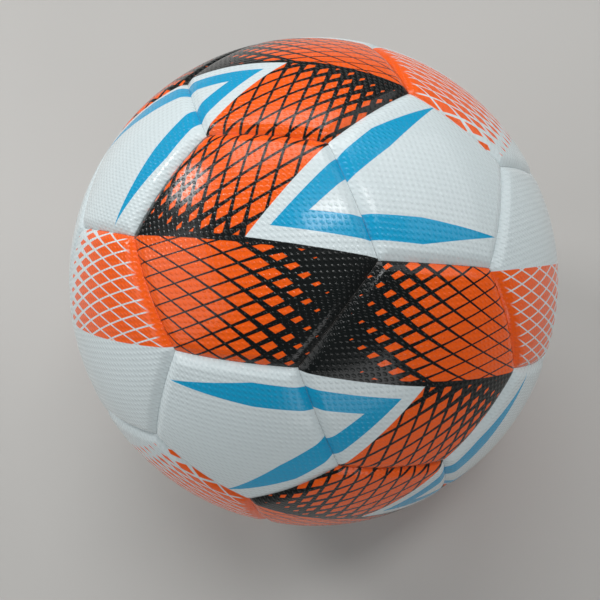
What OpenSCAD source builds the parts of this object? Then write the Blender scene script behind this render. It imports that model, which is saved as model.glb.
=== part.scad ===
// Soccer ball of 32 bonded panels: 12 pentagons and 20 hexagons over a carcass, a bladder and a valve.
// +Z is up as the ball lies, the origin is the ball's centre and +X runs out through the valve.

/* [Ball] */
// Outside diameter of the inflated ball
ball_d = 220; // [190:1:224]
// Turn of the panel layout about the valve axis, in degrees
layout_turn = 11; // [0:1:71]

/* [Layers] */
// Thickness of the polyurethane cover panels
cover_t = 1.2; // [0.8:0.1:1.6]
// Thickness of the foam under each cover panel
foam_t = 2; // [1.6:0.1:3]
// Thickness of the fabric-reinforced carcass
carcass_t = 1; // [0.6:0.1:2]
// Thickness of the rubber bladder
bladder_t = 0.7; // [0.5:0.1:1.5]

/* [Seams] */
// Width of the bonded joint between two panels
seam_gap = 0.3; // [0.3:0.05:0.6]
// Depth of the seam groove below the ball's surface
groove_depth = 2; // [1.4:0.1:2.2]
// Width of each panel's rounded edge, from the joint to the full surface
edge_width = 5; // [3.5:0.5:6]
// Radius of each panel's rounded edge
edge_r = 9; // [8:0.5:12]

/* [Valve] */
// Diameter of the hole in the valve panel
panel_hole_d = 10; // [9:0.5:14]
// Diameter of the valve core's shaft
core_d = 6; // [5:0.5:7]
// Length of the valve core's shaft
core_length = 13; // [10:1:20]
// Radial running clearance between the core and its housing
core_clearance = 0.05; // [0.02:0.01:0.1]
// Diameter of the passage for the inflation needle
needle_d = 2.2; // [2:0.1:2.6]
// Depth of the needle passage, down to the self-closing slit
needle_depth = 9; // [6:1:9]
// Outside diameter of the valve housing's neck
neck_d = 14; // [13:0.5:18]
// Diameter of the bonding flange at the housing's foot
flange_d = 40; // [30:1:50]
// Thickness of the bonding flange
flange_t = 1.1; // [0.8:0.1:2]

/* [Balance] */
// Diameter of the balance patch opposite the valve
patch_d = 36; // [20:1:50]
// Thickness of the balance patch
patch_t = 1.6; // [0.8:0.1:3]

/* [Hidden] */
$fn = 128;
BALL_R = ball_d / 2;
FOAM_R = BALL_R - cover_t;
CARCASS_R = FOAM_R - foam_t;
BLADDER_R = CARCASS_R - carcass_t;
INNER_R = BLADDER_R - bladder_t;

// A truncated icosahedron with its corners at radius 1: the edge, and the angle at the ball's centre
// from the middle of each kind of face to the middle of its edges.
EDGE = 4 / sqrt(58 + 18 * sqrt(5));
PENTAGON_HALF = asin(EDGE / (2 * tan(36)) / sqrt(1 - EDGE * EDGE / 4));
HEXAGON_HALF = asin(EDGE * sqrt(3) / 2 / sqrt(1 - EDGE * EDGE / 4));
HALF_EDGE_ANGLE = asin(EDGE / 2);

// Angle from the valve axis to the middle of each ring of panels, out to the ball's equator.
END_TILT = PENTAGON_HALF + HEXAGON_HALF;
BELT_TILT = END_TILT + 2 * HEXAGON_HALF;
SIDE_TILT = acos(1 / sqrt(5));
RING_STEP = 72;
HALF_STEP = RING_STEP / 2;
FLIP_AZIMUTH = HALF_STEP / 2;

// Centre of the arc that rounds a panel's edge, as [distance from the seam's axis, distance from the seam].
EDGE_LOW = [BALL_R - groove_depth, seam_gap / 2];
EDGE_HIGH = [sqrt(BALL_R * BALL_R - pow(seam_gap / 2 + edge_width, 2)), seam_gap / 2 + edge_width];
EDGE_CHORD = EDGE_HIGH - EDGE_LOW;
EDGE_SETBACK = sqrt(edge_r * edge_r / (EDGE_CHORD * EDGE_CHORD) - 1 / 4);
EDGE_CENTRE = (EDGE_LOW + EDGE_HIGH) / 2 + EDGE_SETBACK * [-EDGE_CHORD[1], EDGE_CHORD[0]];

CUT_R = BALL_R + 5;
CUT_DEPTH = 60;
CUT_SWEEP = 80;
MARGIN = 1;
// How much wider than its panel the round blank is that a panel is cut from.
BLANK_REACH = 1.12;

// Valve levels, measured from the ball's centre along the valve axis. The housing's neck stops short of the
// cover, the core's head sits in a recess in it, and the narrower boot carries the core's shaft.
RECESS_DEPTH = 0.8;
HEAD_SINK = 0.3;
BOOT_WALL = 2;
VALVE_GAP = 0.4;
NECK_TOP = FOAM_R - VALVE_GAP;
HEAD_SEAT = NECK_TOP - RECESS_DEPTH;
HEAD_TOP = BALL_R - HEAD_SINK;
HEAD_R = panel_hole_d / 2 - VALVE_GAP;
BOOT_END = HEAD_SEAT - core_length - MARGIN;
BOOT_R = core_d / 2 + BOOT_WALL;
SLEEVE_GAP = 0.3;

COUNT = 5;
WHITE = "whitesmoke";
ORANGE = "orangered";

// Each ring of panels in one half of the ball: name, sides, tilt from the valve axis, first azimuth, colour.
RINGS = [
    ["end_hexagon", 6, END_TILT, 0, ORANGE],
    ["side_pentagon", 5, SIDE_TILT, HALF_STEP, WHITE],
    ["belt_hexagon", 6, BELT_TILT, 0, ORANGE]
];
ENDS = ["valve", "far"];

function half_angle(sides) = sides == 5 ? PENTAGON_HALF : HEXAGON_HALF;

// Turns a shape built about +Z so that it lies about the valve axis, with the layout's turn.
module on_valve_axis() {
    rotate([layout_turn, 0, 0])
        rotate([0, 90, 0])
            children();
}

// Places a half of the ball: end 0 holds the valve, and end 1 is the same half turned over.
module at_end(end) {
    on_valve_axis()
        rotate(a = 180 * end, v = [cos(FLIP_AZIMUTH), sin(FLIP_AZIMUTH), 0])
            children();
}

module at_panel(end, tilt, azimuth) {
    at_end(end)
        rotate([0, tilt, azimuth])
            children();
}

// Outline that cuts a panel back to its seam and rounds the edge, drawn beside the seam's axis.
// inset moves the whole cut into the panel.
module edge_outline(inset) {
    side = seam_gap / 2 + inset;
    translate([0, -CUT_DEPTH])
        square([CUT_R, CUT_DEPTH + side]);
    difference() {
        translate([EDGE_CENTRE[0], 0])
            square([CUT_R - EDGE_CENTRE[0], EDGE_CENTRE[1]]);
        translate(EDGE_CENTRE)
            circle(r = edge_r - inset);
    }
}

// Solid that removes everything beyond one edge of a panel about +Z. The edge faces +X.
module edge_cutter(half, inset) {
    rotate([0, half - 90, 0])
        rotate(-CUT_SWEEP / 2)
            rotate_extrude(angle = CUT_SWEEP)
                edge_outline(inset);
}

// Panel-shaped block about +Z between two radii, with rounded edges.
module panel_block(sides, outer_r, inner_r, inset) {
    half = half_angle(sides);
    difference() {
        intersection() {
            sphere(r = outer_r);
            cylinder(r = outer_r * sin(half) * BLANK_REACH / cos(180 / sides), h = CUT_R);
        }
        sphere(r = inner_r);
        for (k = [0 : sides - 1])
            rotate(k * 360 / sides)
                edge_cutter(half, inset);
    }
}

// Cover panel: a tray of even thickness, open towards the ball's centre, with its edges turned down.
module cover_panel(sides) {
    difference() {
        panel_block(sides, BALL_R, CARCASS_R, 0);
        panel_block(sides, FOAM_R, CARCASS_R - MARGIN, cover_t);
    }
}

// Foam that fills a cover panel down to the carcass.
module foam_pad(sides) {
    panel_block(sides, FOAM_R, CARCASS_R, cover_t);
}

module valve_hole(r) {
    cylinder(r = r, h = CUT_R);
}

module ring_panel(end, ring, k) {
    color(ring[4])
        at_panel(end, ring[2], ring[3] + (k - 1) * RING_STEP)
            cover_panel(ring[1]);
}

module end_pentagon(end) {
    color(WHITE)
        at_end(end)
            difference() {
                cover_panel(5);
                if (end == 0)
                    valve_hole(panel_hole_d / 2);
            }
}

module pentagon_foams() {
    color("gainsboro") {
        at_end(0)
            difference() {
                foam_pad(5);
                valve_hole(neck_d / 2 + SLEEVE_GAP);
            }
        at_end(1)
            foam_pad(5);
        for (end = [0, 1], k = [0 : COUNT - 1])
            at_panel(end, SIDE_TILT, HALF_STEP + k * RING_STEP)
                foam_pad(5);
    }
}

module hexagon_foams() {
    color("gainsboro")
        for (end = [0, 1], tilt = [END_TILT, BELT_TILT], k = [0 : COUNT - 1])
            at_panel(end, tilt, k * RING_STEP)
                foam_pad(6);
}

// Block along one seam, about +Z and along Y, that holds the seam's strip of adhesive.
module bond_block() {
    start = CARCASS_R - foam_t;
    length = 2 * CARCASS_R * sin(HALF_EDGE_ANGLE) - 2 * seam_gap;
    translate([-seam_gap / 2, -length / 2, start])
        cube([seam_gap, length, CUT_R - start]);
}

// Blocks along chosen edges of a panel about +Z, each edge given by its direction.
module edge_blocks(sides, directions) {
    for (direction = directions)
        rotate([0, half_angle(sides), direction])
            bond_block();
}

// One block per seam: round every pentagon, and between every two neighbouring hexagons.
module seam_blocks() {
    round_pentagon = [for (k = [0 : COUNT - 1]) k * RING_STEP];
    for (end = [0, 1]) {
        at_end(end)
            edge_blocks(5, round_pentagon);
        for (k = [0 : COUNT - 1]) {
            at_panel(end, SIDE_TILT, HALF_STEP + k * RING_STEP)
                edge_blocks(5, round_pentagon);
            at_panel(end, END_TILT, k * RING_STEP)
                edge_blocks(6, [0, 120]);
        }
    }
    for (k = [0 : COUNT - 1])
        at_panel(0, BELT_TILT, k * RING_STEP)
            edge_blocks(6, [60, 300]);
}

// Adhesive that joins the panels' turned-down edges, as one strip per seam.
module seam_bonds() {
    color("lightgrey")
        intersection() {
            sphere_shell(BALL_R - groove_depth, CARCASS_R);
            seam_blocks();
        }
}

module sphere_shell(outer_r, inner_r) {
    difference() {
        sphere(r = outer_r);
        sphere(r = inner_r);
    }
}

module carcass() {
    color("tan")
        on_valve_axis()
            difference() {
                sphere_shell(CARCASS_R, BLADDER_R);
                valve_hole(neck_d / 2 + SLEEVE_GAP);
            }
}

module bladder() {
    color("dimgray")
        on_valve_axis()
            difference() {
                sphere_shell(BLADDER_R, INNER_R);
                valve_hole(neck_d / 2);
            }
}

module valve_housing() {
    color("darkslategray")
        on_valve_axis()
            difference() {
                union() {
                    intersection() {
                        sphere_shell(INNER_R, INNER_R - flange_t);
                        cylinder(d = flange_d, h = CUT_R);
                    }
                    translate([0, 0, INNER_R - flange_t - MARGIN])
                        cylinder(d = neck_d, h = NECK_TOP - INNER_R + flange_t + MARGIN);
                    translate([0, 0, BOOT_END])
                        cylinder(r = BOOT_R, h = NECK_TOP - BOOT_END);
                }
                translate([0, 0, BOOT_END - MARGIN])
                    cylinder(r = core_d / 2 + core_clearance, h = CUT_R);
                translate([0, 0, HEAD_SEAT])
                    cylinder(r = HEAD_R + SLEEVE_GAP, h = CUT_R);
            }
}

module valve_core() {
    color("black")
        on_valve_axis()
            difference() {
                union() {
                    translate([0, 0, HEAD_SEAT - core_length])
                        cylinder(d = core_d, h = core_length + MARGIN);
                    translate([0, 0, HEAD_SEAT])
                        cylinder(r = HEAD_R, h = HEAD_TOP - HEAD_SEAT);
                }
                translate([0, 0, HEAD_TOP - needle_depth])
                    cylinder(d = needle_d, h = CUT_R);
            }
}

module balance_patch() {
    color("dimgray")
        at_end(1)
            intersection() {
                sphere_shell(INNER_R, INNER_R - patch_t);
                cylinder(d = patch_d, h = CUT_R);
            }
}

for (end = [0, 1])
    end_pentagon(end);
for (end = [0, 1], ring = RINGS, k = [1 : COUNT])
    ring_panel(end, ring, k);
pentagon_foams();
hexagon_foams();
seam_bonds();
carcass();
bladder();
valve_housing();
valve_core();
balance_patch();
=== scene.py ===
"""Soccer ball of 32 bonded panels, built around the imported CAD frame.

The frame's origin is the ball's centre, +X runs out through the valve and +Z is up as the ball lies.
A length whose name ends in _MM is in millimetres, and every other length is in metres.
"""
import math

import bpy
import numpy as np
from mathutils import Matrix, Vector, noise


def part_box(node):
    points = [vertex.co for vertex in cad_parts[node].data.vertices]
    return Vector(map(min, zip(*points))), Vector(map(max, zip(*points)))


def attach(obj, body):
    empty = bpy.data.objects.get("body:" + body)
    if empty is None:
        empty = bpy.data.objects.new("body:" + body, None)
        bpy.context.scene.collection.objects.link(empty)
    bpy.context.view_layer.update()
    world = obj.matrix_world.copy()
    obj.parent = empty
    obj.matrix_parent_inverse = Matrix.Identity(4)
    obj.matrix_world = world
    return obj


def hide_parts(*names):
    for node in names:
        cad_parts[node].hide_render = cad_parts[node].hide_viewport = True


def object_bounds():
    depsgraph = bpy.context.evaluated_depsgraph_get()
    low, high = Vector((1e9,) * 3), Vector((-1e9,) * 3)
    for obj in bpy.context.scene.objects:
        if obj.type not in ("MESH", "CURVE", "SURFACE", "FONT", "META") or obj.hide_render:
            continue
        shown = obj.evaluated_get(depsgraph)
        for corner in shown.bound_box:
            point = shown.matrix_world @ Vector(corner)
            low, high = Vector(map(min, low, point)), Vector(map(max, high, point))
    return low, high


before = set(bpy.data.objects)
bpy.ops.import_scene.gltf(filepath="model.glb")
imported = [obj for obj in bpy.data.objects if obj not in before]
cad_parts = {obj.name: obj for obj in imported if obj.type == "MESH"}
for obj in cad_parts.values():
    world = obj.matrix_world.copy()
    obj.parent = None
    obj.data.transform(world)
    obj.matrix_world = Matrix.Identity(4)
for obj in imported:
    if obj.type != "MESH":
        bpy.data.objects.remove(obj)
cad_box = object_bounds()

MM = 0.001
BALL_R = round((cad_box[1][2] - cad_box[0][2]) / 2, 4)
BALL_R_MM = BALL_R / MM
FLOOR_Z = -BALL_R


# ---- Layout: a truncated icosahedron, as angles at the ball's centre ----

LAYOUT_TURN = math.radians(11)
RING_COUNT = 5
RING_STEP = 2 * math.pi / RING_COUNT
FLIP_AZIMUTH = RING_STEP / 4

EDGE = 4 / math.sqrt(58 + 18 * math.sqrt(5))
HALF_ANGLE = {
    5: math.asin(EDGE / (2 * math.tan(math.pi / 5)) / math.sqrt(1 - EDGE ** 2 / 4)),
    6: math.asin(EDGE * math.sqrt(3) / 2 / math.sqrt(1 - EDGE ** 2 / 4)),
}
END_TILT = HALF_ANGLE[5] + HALF_ANGLE[6]
BELT_TILT = END_TILT + 2 * HALF_ANGLE[6]
SIDE_TILT = math.acos(1 / math.sqrt(5))

# Each ring of panels in one half of the ball: name, sides, tilt from the valve axis, first azimuth.
RINGS = [
    ("end_hexagon", 6, END_TILT, 0),
    ("side_pentagon", 5, SIDE_TILT, RING_STEP / 2),
    ("belt_hexagon", 6, BELT_TILT, 0),
]
ENDS = ["valve", "far"]


def rotation(angle, axis):
    return np.array(Matrix.Rotation(angle, 3, axis))


def half_turn(end):
    """Turns a shape about +Z into one half of the ball: end 0 holds the valve, end 1 is that half turned over."""
    flip = rotation(math.pi * end, Vector((math.cos(FLIP_AZIMUTH), math.sin(FLIP_AZIMUTH), 0)))
    return rotation(LAYOUT_TURN, "X") @ rotation(math.pi / 2, "Y") @ flip


def panel_turn(end, tilt, azimuth):
    return half_turn(end) @ rotation(azimuth, "Z") @ rotation(tilt, "Y")


# ---- Cover panels ----

SEAM_GAP_MM = 0.08
COVER_T_MM = 1.15
# Height above the ball's centre of the foot of a panel's turned-down edge, just clear of the carcass.
RIM_BOTTOM_MM = 106.85
# The rounded edge is an arc. Its centre is given as the distance along the seam's plane from the ball's centre,
# and the distance out from that plane.
EDGE_ARC_MM = (100.89, 5.48)
EDGE_ARC_R_MM = 9
# The surface also slopes gently down towards its seams, over a wider strip.
SHOULDER_MM = 0.35
SHOULDER_REACH_MM = 7
# Small waves beside the seams, and a slow unevenness over the middle of the panels.
PUCKER_MM = 0.22
PUCKER_REACH_MM = 3.5
PUCKER_LENGTH_MM = 7
SWELL_MM = 0.12
SWELL_LENGTH_MM = 40
SWELL_START_MM = 10
# Power of the blend between two edges where they meet at a corner. A larger one is sharper.
CORNER_BLEND = 6
# The mesh: points along each side, and the rings' spacing from the seam inwards.
SIDE_POINTS = 44
FIRST_STEP_MM = 0.14
STEP_GROWTH = 1.13
LONGEST_STEP_MM = 1.25
INNER_RINGS = 9
# Radius of the hole in the valve's panel, and of its rounded lip.
VALVE_HOLE_MM = 5
HOLE_LIP_MM = 0.7


def seam_normals(sides):
    """The inward normal of the plane through the ball's centre and each edge of a panel about +Z."""
    half = HALF_ANGLE[sides]
    turns = [2 * math.pi * k / sides for k in range(sides)]
    return np.array(
        [(-math.cos(half) * math.cos(t), -math.cos(half) * math.sin(t), math.sin(half)) for t in turns]
    )


def arc_radius(sine, arc_r):
    """How far from the ball's centre a panel's rounded edge is, where sine is the direction's angle off the seam."""
    reach = EDGE_ARC_MM[0] * np.sqrt(1 - sine ** 2) + EDGE_ARC_MM[1] * sine
    rest = EDGE_ARC_MM[0] ** 2 + EDGE_ARC_MM[1] ** 2 - arc_r ** 2
    return reach + np.sqrt(np.maximum(reach ** 2 - rest, 0))


def edge_drop(sines, outer_r, arc_r):
    """How far the panel's surface lies below the sphere outer_r, blended between edges at the corners."""
    drops = np.maximum(outer_r - arc_radius(sines, arc_r), 0)
    drops[sines * BALL_R_MM > EDGE_ARC_MM[1]] = 0
    shoulders = SHOULDER_MM * np.exp(-sines * BALL_R_MM / SHOULDER_REACH_MM)
    every = np.concatenate([drops, shoulders], axis=1)
    return (every ** CORNER_BLEND).sum(axis=1) ** (1 / CORNER_BLEND)


def seam_steps(half_width):
    """Distances from the seam at which a panel has a ring of points, fine at the seam and coarser inwards."""
    steps = [SEAM_GAP_MM / 2]
    step = FIRST_STEP_MM
    while steps[-1] + step < half_width:
        steps.append(steps[-1] + step)
        step = min(step * STEP_GROWTH, LONGEST_STEP_MM)
    return steps


def polygon_ring(sides, share, hole):
    """Points at that share of the way from the middle, or from a round hole's edge, out to the panel's edges."""
    half_width = BALL_R_MM * math.tan(HALF_ANGLE[sides])
    corner = half_width / math.cos(math.pi / sides)
    points = []
    for k in range(sides):
        a = math.pi * (2 * k - 1) / sides
        b = math.pi * (2 * k + 1) / sides
        for i in range(SIDE_POINTS):
            t = i / SIDE_POINTS
            x = corner * ((1 - t) * math.cos(a) + t * math.cos(b))
            y = corner * ((1 - t) * math.sin(a) + t * math.sin(b))
            away = math.hypot(x, y)
            scale = share + (1 - share) * hole / away
            points.append((x * scale, y * scale))
    return np.array(points)


def directions(flat):
    """Unit directions of points given on the plane that touches the ball at the panel's middle."""
    spread = np.column_stack([flat, np.full(len(flat), BALL_R_MM)])
    return spread / np.linalg.norm(spread, axis=1)[:, None]


def seam_puckers(world):
    """Small waves that the cover has beside its seams, from -1 to 1."""
    return np.array([noise.noise(Vector(p) / PUCKER_LENGTH_MM) for p in world])


def slow_swell(world):
    """Slow unevenness of the cover, from -1 to 1."""
    return np.array([noise.noise(Vector(p) / SWELL_LENGTH_MM) for p in world])


def outer_surface(flat, sides, turn, hole):
    """Points of a panel's outer face, and how far each is from the nearest seam. hole is a round hole's radius."""
    ways = directions(flat)
    sines = ways @ seam_normals(sides).T
    seam = sines.min(axis=1) * BALL_R_MM
    drop = edge_drop(sines, BALL_R_MM, EDGE_ARC_R_MM)
    world = ways @ turn.T * BALL_R_MM
    drop += PUCKER_MM * seam_puckers(world) * np.exp(-seam / PUCKER_REACH_MM) * np.clip(seam, 0, 1)
    drop -= SWELL_MM * slow_swell(world) * np.clip(seam / SWELL_START_MM, 0, 1)
    if hole:
        into_lip = np.clip(1 - (np.hypot(flat[:, 0], flat[:, 1]) - hole) / HOLE_LIP_MM, 0, 1)
        drop += HOLE_LIP_MM * (1 - np.sqrt(1 - into_lip ** 2))
    return ways * (BALL_R_MM - drop)[:, None], seam


def inner_surface(flat, sides):
    """Points of a panel's inner face, which lies on its foam."""
    ways = directions(flat)
    inner_r = BALL_R_MM - COVER_T_MM
    drop = edge_drop(ways @ seam_normals(sides).T, inner_r, EDGE_ARC_R_MM - COVER_T_MM)
    return ways * (inner_r - drop)[:, None]


def panel_mesh(name, sides, turn, hole=0):
    """A cover panel: a closed tray with rounded, turned-down edges.

    Its rings of points run from the middle of the outer face out over the edge, and back to the middle inside.
    Its "panel" attribute holds the place on the plane that touches the ball at the panel's middle, and the
    distance from the nearest seam, in millimetres.
    """
    half_width = BALL_R_MM * math.tan(HALF_ANGLE[sides])
    shares = [1 - s / half_width for s in seam_steps(half_width - hole)]
    innermost = 0 if hole else shares[-1]
    flats = [polygon_ring(sides, share, hole) for share in [*shares[:-1], innermost]]
    inner_edge = 1 - (SEAM_GAP_MM / 2 + COVER_T_MM) / half_width
    inner_shares = np.linspace(inner_edge, innermost, INNER_RINGS)

    rings, places = [], []
    for flat in reversed(flats):
        surface, seam = outer_surface(flat, sides, turn, hole)
        rings.append(surface)
        places.append(np.column_stack([flat, seam]))
    outline = flats[0]
    rings.append(directions(outline) * RIM_BOTTOM_MM)
    inner_outline = polygon_ring(sides, inner_shares[0], hole)
    rings.append(directions(inner_outline) * RIM_BOTTOM_MM)
    places += [np.column_stack([f, np.zeros(len(f))]) for f in (outline, inner_outline)]
    for share in inner_shares:
        flat = polygon_ring(sides, share, hole)
        rings.append(inner_surface(flat, sides))
        places.append(np.column_stack([flat, np.zeros(len(flat))]))

    per_ring = len(outline)
    points = np.concatenate(rings)
    faces = []
    for r in range(len(rings) - 1):
        for i in range(per_ring):
            j = (i + 1) % per_ring
            a, b = r * per_ring, (r + 1) * per_ring
            faces.append((a + i, b + i, b + j, a + j))
    last = (len(rings) - 1) * per_ring
    place = np.concatenate(places)
    if hole:
        faces += [(last + i, i, (i + 1) % per_ring, last + (i + 1) % per_ring) for i in range(per_ring)]
    else:
        top, bottom = len(points), len(points) + 1
        swell = SWELL_MM * slow_swell([turn @ (0, 0, BALL_R_MM)])[0]
        points = np.concatenate([points, [(0, 0, BALL_R_MM + swell), (0, 0, BALL_R_MM - COVER_T_MM)]])
        place = np.concatenate([place, [(0, 0, half_width), (0, 0, half_width)]])
        faces += [(top, i, (i + 1) % per_ring) for i in range(per_ring)]
        faces += [(bottom, last + (i + 1) % per_ring, last + i) for i in range(per_ring)]

    mesh = bpy.data.meshes.new(name)
    mesh.from_pydata((points @ turn.T * MM).tolist(), [], faces)
    attribute = mesh.attributes.new("panel", "FLOAT_VECTOR", "POINT")
    attribute.data.foreach_set("vector", place.astype(np.float32).ravel())
    mesh.shade_smooth()
    piece = bpy.data.objects.new(name, mesh)
    bpy.context.scene.collection.objects.link(piece)
    return piece


# ---- Materials: numbers worked out by shader nodes, written as formulas ----

class Field:
    """A number that differs from point to point, held as a shader node's output."""

    def __init__(self, tree, socket):
        self.tree = tree
        self.socket = socket

    def math(self, operation, *others):
        node = self.tree.nodes.new("ShaderNodeMath")
        node.operation = operation
        for slot, value in zip(node.inputs, (self, *others)):
            if isinstance(value, Field):
                self.tree.links.new(value.socket, slot)
            else:
                slot.default_value = value
        return Field(self.tree, node.outputs[0])

    def __add__(self, other):
        return self.math("ADD", other)

    def __sub__(self, other):
        return self.math("SUBTRACT", other)

    def __mul__(self, other):
        return self.math("MULTIPLY", other)

    def __truediv__(self, other):
        return self.math("DIVIDE", other)

    def __pow__(self, other):
        return self.math("POWER", other)

    __radd__ = __add__
    __rmul__ = __mul__

    def __rsub__(self, other):
        return self * -1 + other

    def least(self, other):
        return self.math("MINIMUM", other)

    def most(self, other):
        return self.math("MAXIMUM", other)

    def ramp(self, low, high):
        """0 at low, 1 at high and straight in between."""
        node = self.tree.nodes.new("ShaderNodeMapRange")
        self.tree.links.new(self.socket, node.inputs["Value"])
        node.inputs["From Min"].default_value = low
        node.inputs["From Max"].default_value = high
        return Field(self.tree, node.outputs["Result"])

    def smooth(self, low, high):
        """0 at low, 1 at high and eased in between."""
        eased = self.ramp(low, high)
        eased.socket.node.interpolation_type = "SMOOTHSTEP"
        return eased


PRINT_BLUR_MM = 0.12


def inside(*distances):
    """1 where every distance, in millimetres, is above 0, with a soft print edge."""
    nearest = distances[0]
    for distance in distances[1:]:
        nearest = nearest.least(distance)
    return nearest.ramp(-PRINT_BLUR_MM, PRINT_BLUR_MM)


def either(a, b):
    return a.most(b)


class Material:
    """A procedural material with a Principled shader, and short ways to add nodes to it."""

    def __init__(self, name, **settings):
        self.material = bpy.data.materials.new(name)
        self.material.use_nodes = True
        self.tree = self.material.node_tree
        self.shader = self.tree.nodes["Principled BSDF"]
        for socket, value in settings.items():
            self.shader.inputs[socket.replace("_", " ")].default_value = value

    def panel(self):
        """The place on the panel and the distance from the nearest seam, all in millimetres."""
        attribute = self.tree.nodes.new("ShaderNodeAttribute")
        attribute.attribute_name = "panel"
        parts = self.tree.nodes.new("ShaderNodeSeparateXYZ")
        self.tree.links.new(attribute.outputs["Vector"], parts.inputs[0])
        return [Field(self.tree, parts.outputs[k]) for k in range(3)]

    def place(self):
        return self.tree.nodes.new("ShaderNodeTexCoord").outputs["Object"]

    def noise(self, size, detail=3, roughness=0.5):
        """Noise from 0 to 1 whose lumps are about size across, in metres."""
        node = self.tree.nodes.new("ShaderNodeTexNoise")
        node.inputs["Scale"].default_value = 1 / size
        node.inputs["Detail"].default_value = detail
        node.inputs["Roughness"].default_value = roughness
        self.tree.links.new(self.place(), node.inputs["Vector"])
        return Field(self.tree, node.outputs[0])

    def cells(self, size):
        """Distance into rounded cells about size across, from 0 to about 1."""
        node = self.tree.nodes.new("ShaderNodeTexVoronoi")
        node.inputs["Scale"].default_value = 1 / size
        self.tree.links.new(self.place(), node.inputs["Vector"])
        return Field(self.tree, node.outputs["Distance"])

    def mix(self, share, first, second):
        """first where share is 0 and second where it is 1. Each is a colour or another mix."""
        node = self.tree.nodes.new("ShaderNodeMix")
        node.data_type = "RGBA"
        self.tree.links.new(share.socket, node.inputs["Factor"])
        for slot, value in ((node.inputs[6], first), (node.inputs[7], second)):
            if isinstance(value, bpy.types.NodeSocket):
                self.tree.links.new(value, slot)
            else:
                slot.default_value = (*value, 1)
        return node.outputs[2]

    def set(self, socket, value):
        self.tree.links.new(value.socket if isinstance(value, Field) else value, self.shader.inputs[socket])

    def bump(self, height, depth, strength=1):
        """Adds relief: height from 0 to 1 stands for a depth in metres."""
        node = self.tree.nodes.new("ShaderNodeBump")
        node.inputs["Distance"].default_value = depth
        node.inputs["Strength"].default_value = strength
        self.tree.links.new(height.socket, node.inputs["Height"])
        self.tree.links.new(node.outputs[0], self.shader.inputs["Normal"])


# ---- The printed cover ----

WHITE = (0.70, 0.79, 0.81)
DULL_WHITE = (0.67, 0.76, 0.78)
ORANGE = (0.96, 0.12, 0.006)
BLACK = (0.004, 0.006, 0.006)
BLUE = (0.006, 0.36, 0.64)
# Pale colour along the seams: partly wear of the cover's edge, partly a painted highlight on the seam.
SEAM_WEAR_AND_HIGHLIGHT = (0.72, 0.62, 0.56)

SEAM_WEAR_AND_HIGHLIGHT_SHARE = 0.05
# A grey that is mixed lightly into the cover over random patches.
PATCH_GREY = (0.32, 0.31, 0.30)
PATCH_GREY_SHARE = 0.02

# The embossed ovals: their long axis, spacing and half size, each along the long axis and across it.
OVAL_TURN = math.radians(-60)
OVAL_PITCH_MM = (3.4, 2.7)
OVAL_HALF_MM = (0.95, 0.55)
OVAL_FOOT = 1.25
EMBOSS_DEPTH = 0.00013
GRAIN_SHARE = 0.1
# Added to a place so that it is above 0 all over a panel.
PAST_PANEL_MM = 200


def lines(phase, spacing, width):
    """Above 0 on lines of that width where phase is a whole number, with spacing between them, in millimetres."""
    off_line = (phase + 0.5).math("FRACT") - 0.5
    return width * 0.5 - off_line.math("ABSOLUTE") * spacing


def net(shallow, steep, spacing, width):
    """1 on the strands of a net of two sets of lines."""
    return inside(lines(shallow, spacing[0], width).most(lines(steep, spacing[1], width)))


def from_nearest(distance, pitch, half):
    """How far a point is from the middle of the nearest oval along one direction, as a share of its half size."""
    return ((distance / pitch).math("FRACT") - 0.5) * (pitch / half)


def ovals(u, v):
    """Staggered raised ovals pressed into the cover, from 0 to 1."""
    along = u * math.cos(OVAL_TURN) + v * math.sin(OVAL_TURN) + PAST_PANEL_MM
    across = v * math.cos(OVAL_TURN) - u * math.sin(OVAL_TURN) + PAST_PANEL_MM
    nearest = None
    for shift in (0, 0.5):
        out_along = from_nearest(along + OVAL_PITCH_MM[0] * shift, OVAL_PITCH_MM[0], OVAL_HALF_MM[0])
        out_across = from_nearest(across + OVAL_PITCH_MM[1] * shift, OVAL_PITCH_MM[1], OVAL_HALF_MM[1])
        out = out_along * out_along + out_across * out_across
        nearest = out if nearest is None else nearest.least(out)
    return nearest.ramp(OVAL_FOOT, 0)


def cover_material(name, colour_of):
    """Embossed satin polyurethane, with its print given by colour_of(material, u, v)."""
    cover = Material(name, Coat_Weight=0.12, Coat_Roughness=0.06, IOR=1.38)
    u, v, seam = cover.panel()
    colour = colour_of(cover, u, v)
    # Paler within a millimetre of the seams, in patches: partly wear of the edge, partly a painted highlight along
    # the seam.
    wear_and_highlight = seam.smooth(0.8, 0.25) * cover.noise(0.006).ramp(0.35, 0.75)
    colour = cover.mix(wear_and_highlight * SEAM_WEAR_AND_HIGHLIGHT_SHARE, colour, SEAM_WEAR_AND_HIGHLIGHT)
    # Mixes a little grey into the colour over random patches.
    grey_patches = cover.noise(0.03).ramp(0.3, 0.8)
    colour = cover.mix(grey_patches * PATCH_GREY_SHARE, colour, PATCH_GREY)
    cover.set("Base Color", colour)
    relief = ovals(u, v)
    grain = cover.noise(0.0004, detail=2)
    cover.set("Roughness", 0.17 + cover.noise(0.012).ramp(0.3, 0.7) * 0.06 + relief * 0.05)
    cover.bump(relief + grain * GRAIN_SHARE, EMBOSS_DEPTH)
    return cover.material


# The print's places are millimetres on the panel: u away from the nearer end of the print's axis, v round it.
# An arm has its root at the belt's seam, bends at its elbow and ends at its tip.
ARM_ROOT = (32.5, 16)
ARM_ELBOW = (14, 13)
ARM_TIP = (-17, 27.4)

# Each wedge opens from its tip towards the belt's end seam, between an upper and a lower slope.
WHITE_WEDGE = ((2, 1), (0.56, -0.61))
BLUE_CHEVRON = ((11, 1.2), (0.5, -0.58))
CHEVRON_NOTCH = ((25, 1), (0.4, -0.5))

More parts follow.
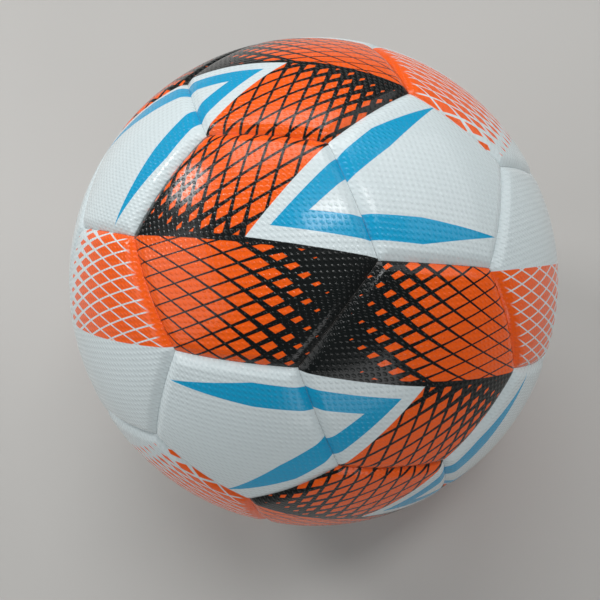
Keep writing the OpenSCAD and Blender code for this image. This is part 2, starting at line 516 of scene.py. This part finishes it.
# Each net's spacing, in its rows and in its slants.
UPPER_NET_MM = (4.9, 5.7)
BAND_NET_MM = (5.6, 5.9)
END_NET_MM = (5.1, 5.5)
UPPER_STRAND_MM = 0.95
THIN_STRAND_MM = 0.6
DIAGONAL_STRIPE_MM = 2.2


def over(u, v, point, slope):
    """How far v is over a straight line through a point, which rises by slope for each step of u."""
    return v - point[1] - (u - point[0]) * slope


def wedge(u, v, tip, slopes):
    """1 inside a wedge that opens from its tip towards larger u."""
    return inside(over(u, v, tip, slopes[0]) * -1, over(u, v, tip, slopes[1]))


def plain_white(cover, u, v):
    """White, a little duller in patches."""
    return cover.mix(cover.noise(0.05).ramp(0.3, 0.7), WHITE, DULL_WHITE)


def side_print(cover, u, v):
    """White, with two blue arms that run in from the belt and taper to points."""
    out = v.math("ABSOLUTE")
    arm = inside(
        over(u, out, ARM_ROOT, -0.38) * -1,
        over(u, out, ARM_TIP, -0.15) * -1,
        over(u, out, ARM_ELBOW, -0.36),
        over(u, out, ARM_TIP, -0.47),
    )
    return cover.mix(arm, WHITE, BLUE)


def upper_net(u, v, above):
    """The black net on the side of the diagonal that holds the wedge. It thickens to the left and at the diagonal."""
    width = UPPER_STRAND_MM + u.ramp(15, -30) ** 2.2 * 3 + above.ramp(15, 1) ** 1.4 * 1.3
    rows = (v - 10 - u * 0.12 - u * u * 0.0012) / (5.2 + u * 0.035)
    slants = (u - v * 0.68) / (7 + u * 0.03)
    return either(net(rows, slants, UPPER_NET_MM, width), inside(DIAGONAL_STRIPE_MM - above))


def band_net(u, v):
    """The black net on the other side of the diagonal. It thickens until it is solid beside the wedge."""
    towards_end = (u * 0.8 - v * 0.6).ramp(-46, 35)
    beside_wedge = (u * 0.625 + v * 0.781).ramp(-6, 1) * u.smooth(-4, 12)
    width = THIN_STRAND_MM + towards_end ** 4.5 * 5.2 + beside_wedge * 1.6
    rows = (v + (0.19 + v * 0.0065) * (u + 42)) / 5.8
    slants = (u + (0.72 + v * 0.004) * v) / 7.4
    return net(rows, slants, BAND_NET_MM, width)


def belt_print(cover, u, v):
    """A black net over orange, in two halves either side of the panel's long diagonal, and a white wedge."""
    above = v * math.cos(math.pi / 6) + u * math.sin(math.pi / 6)
    band = cover.mix(band_net(u, v), ORANGE, BLACK)
    upper = cover.mix(upper_net(u, v, above), ORANGE, BLACK)
    nets = cover.mix(inside(above), band, upper)
    printed = cover.mix(wedge(u, v, *WHITE_WEDGE), nets, WHITE)
    return cover.mix(wedge(u, v, *BLUE_CHEVRON) * (1 - wedge(u, v, *CHEVRON_NOTCH)), printed, BLUE)


def end_print(cover, u, v):
    """Orange under a white net that thickens away from the belt, and plain white beyond the diagonal."""
    fade = (v * 0.74 - u * 0.68).ramp(-40, 35)
    width = THIN_STRAND_MM + fade ** 6 * 5.2
    rows = (v + u * 0.08 + u.most(0) ** 2 * 0.0022) / 5.1
    slants = (v + u + u * u * 0.004) / 7.9
    strands = net(rows, slants, END_NET_MM, width) * u.smooth(40, 37)
    beyond = over(u, v, (0, 0), -0.54) * -1
    return cover.mix(either(strands, inside(beyond)), ORANGE, WHITE)


def make_panels():
    looks = {
        "end_pentagon": (cover_material("cover_plain_white", plain_white), "cover_white"),
        "side_pentagon": (cover_material("cover_white_blue_arms", side_print), "cover_white"),
        "belt_hexagon": (cover_material("cover_orange_black_net", belt_print), "cover_belt"),
        "end_hexagon": (cover_material("cover_orange_white_net", end_print), "cover_end"),
    }
    for end, side in enumerate(ENDS):
        hole = 0 if end else VALVE_HOLE_MM
        places = [(f"{side}_end_pentagon", "end_pentagon", 5, half_turn(end), hole)]
        for ring, sides, tilt, first in RINGS:
            for k in range(RING_COUNT):
                turn = panel_turn(end, tilt, first + k * RING_STEP)
                places.append((f"{side}_{ring}_{k + 1}", ring, sides, turn, 0))
        for node, ring, sides, turn, hole in places:
            piece = panel_mesh(f"{node}_cover", sides, turn, hole)
            material, slot = looks[ring]
            piece.data.materials.append(material)
            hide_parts(node)
            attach(piece, "ball")


make_panels()


# ---- What is under the cover ----

def finish_node(node, material):
    """Gives a CAD node's own object a better material."""
    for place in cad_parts[node].material_slots:
        place.material = material


def foam_material():
    foam = Material("closed_cell_foam", Roughness=0.85)
    cells = foam.cells(0.0008)
    foam.set("Base Color", foam.mix(cells.ramp(0.1, 0.8), (0.80, 0.79, 0.74), (0.90, 0.90, 0.87)))
    foam.bump(cells, 0.0002)
    return foam.material


def adhesive_material():
    glue = Material("cured_adhesive", Roughness=0.4, Coat_Weight=0.2)
    lumps = glue.noise(0.002)
    glue.set("Base Color", glue.mix(lumps.ramp(0.3, 0.7), (0.20, 0.19, 0.18), (0.36, 0.35, 0.34)))
    glue.bump(lumps, 0.0001)
    return glue.material


THREAD = 0.0009


def carcass_material():
    """Coated woven polyester: threads over and under each other, seen through a thin skin of rubber."""
    cloth = Material("coated_woven_carcass", Roughness=0.7)
    parts = cloth.tree.nodes.new("ShaderNodeSeparateXYZ")
    cloth.tree.links.new(cloth.place(), parts.inputs[0])
    x, y, z = [Field(cloth.tree, parts.outputs[k]) for k in range(3)]
    turns = 2 * math.pi / THREAD
    warp = ((x + z) * turns).math("SINE")
    weft = ((y - z) * turns).math("SINE")
    weave = (warp * weft).ramp(-1, 1)
    cloth.set("Base Color", cloth.mix(weave, (0.60, 0.53, 0.41), (0.82, 0.76, 0.64)))
    cloth.bump(weave, 0.0002)
    return cloth.material


def rubber_material(name, colour, roughness, lump=0.004):
    rubber = Material(name)
    lumps = rubber.noise(lump, detail=5, roughness=0.6)
    pale = tuple(min(c * 1.8 + 0.01, 1) for c in colour)
    rubber.set("Base Color", rubber.mix(lumps.ramp(0.35, 0.75), colour, pale))
    rubber.set("Roughness", roughness + lumps * 0.15)
    rubber.bump(lumps + rubber.noise(0.0005) * 0.3, 0.00012)
    return rubber.material


foam = foam_material()
for foam_node in ("pentagon_foams", "hexagon_foams"):
    finish_node(foam_node, foam)
finish_node("seam_bonds", adhesive_material())
finish_node("carcass", carcass_material())
finish_node("bladder", rubber_material("butyl_bladder", (0.02, 0.02, 0.021), 0.5))
finish_node("valve_housing", rubber_material("moulded_housing", (0.03, 0.03, 0.031), 0.45, 0.002))
finish_node("balance_patch", rubber_material("balance_rubber", (0.05, 0.04, 0.036), 0.55))


# ---- The valve core ----

CORE_SIDES = 96
CORE_SHARP_EDGE = math.radians(40)
FUNNEL_DEPTH_MM = 1.1
FUNNEL_R_MM = 2.1
NEEDLE_R_MM = 1.1
NEEDLE_DEPTH_MM = 9
HEAD_T_MM = 2.1
SHAFT_R_MM = 3
FILLET_MM = 0.45
# A low ridge that runs round the top of the head.
RIDGE_MM = 0.16
RIDGE_HALF_MM = 0.5
RIDGE_STEPS = 8


def quarter(centre, radius, start, points=6):
    """A quarter circle of points (distance out, height), turning clockwise from start, in degrees."""
    turns = [math.radians(start - 90 * i / points) for i in range(points + 1)]
    return [(centre[0] + radius * math.cos(t), centre[1] + radius * math.sin(t)) for t in turns]


def core_profile(top, foot, head_r):
    """The core's outline from the foot of its needle passage, over its head and down to the middle of its foot."""
    ridge_r = (FUNNEL_R_MM + head_r) / 2
    seat = top - HEAD_T_MM
    low_top = top - RIDGE_MM
    outline = [(0, top - NEEDLE_DEPTH_MM), (NEEDLE_R_MM, top - NEEDLE_DEPTH_MM)]
    outline += [(NEEDLE_R_MM, low_top - FUNNEL_DEPTH_MM), (FUNNEL_R_MM - 0.3, low_top - 0.25)]
    outline += [(FUNNEL_R_MM, low_top - 0.05), (FUNNEL_R_MM + 0.2, low_top)]
    for i in range(RIDGE_STEPS + 1):
        share = 2 * i / RIDGE_STEPS - 1
        rise = RIDGE_MM * math.cos(math.pi / 2 * share) ** 2
        outline.append((ridge_r + share * RIDGE_HALF_MM, low_top + rise))
    outline += quarter((head_r - FILLET_MM, low_top - FILLET_MM), FILLET_MM, 90)
    outline += [(head_r, seat), (SHAFT_R_MM, seat)]
    outline += quarter((SHAFT_R_MM - FILLET_MM, foot + FILLET_MM), FILLET_MM, 0)
    outline.append((0, foot))
    return outline


def lathe(name, outline):
    """Turns an outline of (distance out, height) about +X. Its first and last points lie on the axis."""
    mesh = bpy.data.meshes.new(name)
    middle = outline[1:-1]
    points = [(outline[0][1], 0, 0), (outline[-1][1], 0, 0)]
    for k in range(CORE_SIDES):
        turn = 2 * math.pi * k / CORE_SIDES
        points += [(height, out * math.cos(turn), out * math.sin(turn)) for out, height in middle]
    count = len(middle)
    faces = []
    for k in range(CORE_SIDES):
        a = 2 + k * count
        b = 2 + (k + 1) % CORE_SIDES * count
        faces += [(a + i, b + i, b + i + 1, a + i + 1) for i in range(count - 1)]
        faces += [(0, b, a), (1, a + count - 1, b + count - 1)]
    mesh.from_pydata([[c * MM for c in point] for point in points], [], faces)
    mesh.shade_smooth()
    mesh.set_sharp_from_angle(angle=CORE_SHARP_EDGE)
    piece = bpy.data.objects.new(name, mesh)
    bpy.context.scene.collection.objects.link(piece)
    return piece


def make_valve_core():
    low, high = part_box("valve_core")
    head_r = round((high.y - low.y) / 2 / MM, 1)
    core = lathe("valve_core_moulding", core_profile(high.x / MM, low.x / MM, head_r))
    core.data.materials.append(rubber_material("moulded_core", (0.012, 0.012, 0.013), 0.35, 0.001))
    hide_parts("valve_core")
    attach(core, "valve_core")


make_valve_core()


# ---- Floor, light and camera ----

def point_at(azimuth, elevation, distance=1):
    """A point at that azimuth and elevation, in degrees. Azimuth 0 is towards -Y, and 90 is towards +X."""
    a, e = math.radians(azimuth), math.radians(elevation)
    return Vector((math.sin(a) * math.cos(e), -math.cos(a) * math.cos(e), math.sin(e))) * distance


FLOOR_HALF = 2


def make_floor():
    mesh = bpy.data.meshes.new("floor")
    h = FLOOR_HALF
    corners = [(-h, -h, FLOOR_Z), (h, -h, FLOOR_Z), (h, h, FLOOR_Z), (-h, h, FLOOR_Z)]
    mesh.from_pydata(corners, [], [(0, 1, 2, 3)])
    floor = bpy.data.objects.new("floor", mesh)
    bpy.context.scene.collection.objects.link(floor)
    look = Material("pale_floor", Roughness=0.6)
    look.set("Base Color", look.mix(look.noise(0.3), (0.47, 0.46, 0.44), (0.52, 0.51, 0.49)))
    mesh.materials.append(look.material)


def area_light(name, azimuth, elevation, distance, size, power):
    """A rectangular soft box that faces the ball."""
    data = bpy.data.lights.new(name, "AREA")
    data.shape = "RECTANGLE"
    data.size, data.size_y = size
    data.energy = power
    light = bpy.data.objects.new(name, data)
    light.location = point_at(azimuth, elevation, distance)
    light.rotation_euler = light.location.to_track_quat("Z", "Y").to_euler()
    bpy.context.scene.collection.objects.link(light)


def make_lights():
    area_light("key_softbox", 165, 48, 1.5, (1.1, 0.6), 9)
    area_light("top_softbox", 95, 74, 1.0, (0.16, 0.42), 2.4)
    area_light("back_left_softbox", -143, 38, 1.3, (0.3, 0.3), 5)
    area_light("left_fill", -95, 35, 1.6, (1.2, 1.0), 5.5)
    area_light("right_fill", 95, 30, 1.6, (1.2, 1.0), 5)
    area_light("front_fill", -5, 20, 1.6, (1.2, 0.6), 4.5)
    world = bpy.data.worlds.new("soft_room")
    world.use_nodes = True
    background = world.node_tree.nodes["Background"]
    background.inputs["Color"].default_value = (0.92, 0.96, 1, 1)
    background.inputs["Strength"].default_value = 0.08
    bpy.context.scene.world = world
    # The default view transform would wash out the print's colours.
    bpy.context.scene.view_settings.view_transform = "Standard"


CAMERA_DISTANCE = 3 * BALL_R
CAMERA_AZIMUTH = -5.9
CAMERA_ELEVATION = 67.7
LOOK_AZIMUTH = -2.2
LOOK_ELEVATION = 68.7
CAMERA_ROLL = math.radians(-19.75)
LENS_MM = 41.5
SENSOR_MM = 36


def make_camera():
    data = bpy.data.cameras.new("camera")
    data.lens = LENS_MM
    data.sensor_width = SENSOR_MM
    data.clip_start = 0.01
    camera = bpy.data.objects.new("camera", data)
    back = point_at(LOOK_AZIMUTH, LOOK_ELEVATION)
    level_right = Vector((0, 0, 1)).cross(back).normalized()
    level_up = back.cross(level_right)
    right = level_right * math.cos(CAMERA_ROLL) + level_up * math.sin(CAMERA_ROLL)
    up = back.cross(right)
    turn = Matrix((right, up, back)).transposed().to_4x4()
    camera.matrix_world = Matrix.Translation(point_at(CAMERA_AZIMUTH, CAMERA_ELEVATION, CAMERA_DISTANCE)) @ turn
    bpy.context.scene.collection.objects.link(camera)
    bpy.context.scene.camera = camera


make_floor()
make_lights()
make_camera()
